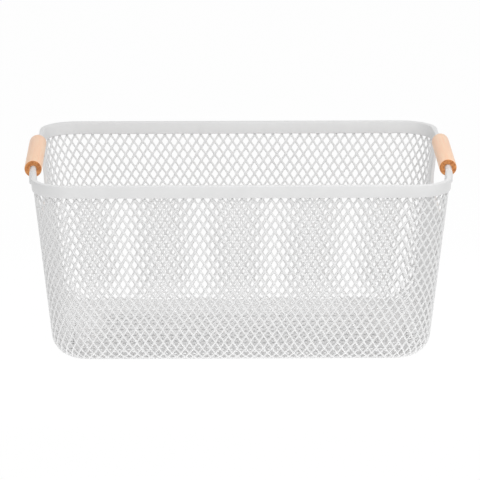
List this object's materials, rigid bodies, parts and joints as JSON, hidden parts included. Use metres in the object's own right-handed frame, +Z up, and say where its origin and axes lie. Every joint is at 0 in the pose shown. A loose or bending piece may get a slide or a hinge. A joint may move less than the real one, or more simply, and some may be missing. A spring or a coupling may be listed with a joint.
{
  "type": "handled storage basket",
  "caption": "Open rectangular plastic mesh storage basket with a banded rim, rounded corners and turned wooden grips on rods across the hand holds in its short sides.",
  "frame": {"origin": "middle of the underside, on the surface that the basket stands on", "axes": "+Z up, +X along the long side towards the right grip, -Y towards the pictured front"},
  "size_m": [0.3956, 0.2598, 0.1766],
  "materials": {
    "tub_plastic": "satin moulded",
    "rim_plastic": "satin moulded",
    "rod_paint": "white coated",
    "grip_wood": "clear lacquered"
  },
  "bodies": {
    "basket": {"mesh_tub": "tub_plastic", "rim_frame": "rim_plastic", "rod_left": "rod_paint", "rod_right": "rod_paint"},
    "grip_left": {"grip_left": "grip_wood"},
    "grip_right": {"grip_right": "grip_wood"}
  },
  "joints": [
    {"name": "grip_left_spin", "type": "hinge", "parent": "basket", "child": "grip_left", "pos_m": [-0.1898, 0, 0.1686], "axis": [0, 1, 0], "continuous": true},
    {"name": "grip_right_spin", "type": "hinge", "parent": "basket", "child": "grip_right", "pos_m": [0.1898, 0, 0.1686], "axis": [0, 1, 0], "continuous": true}
  ]
}
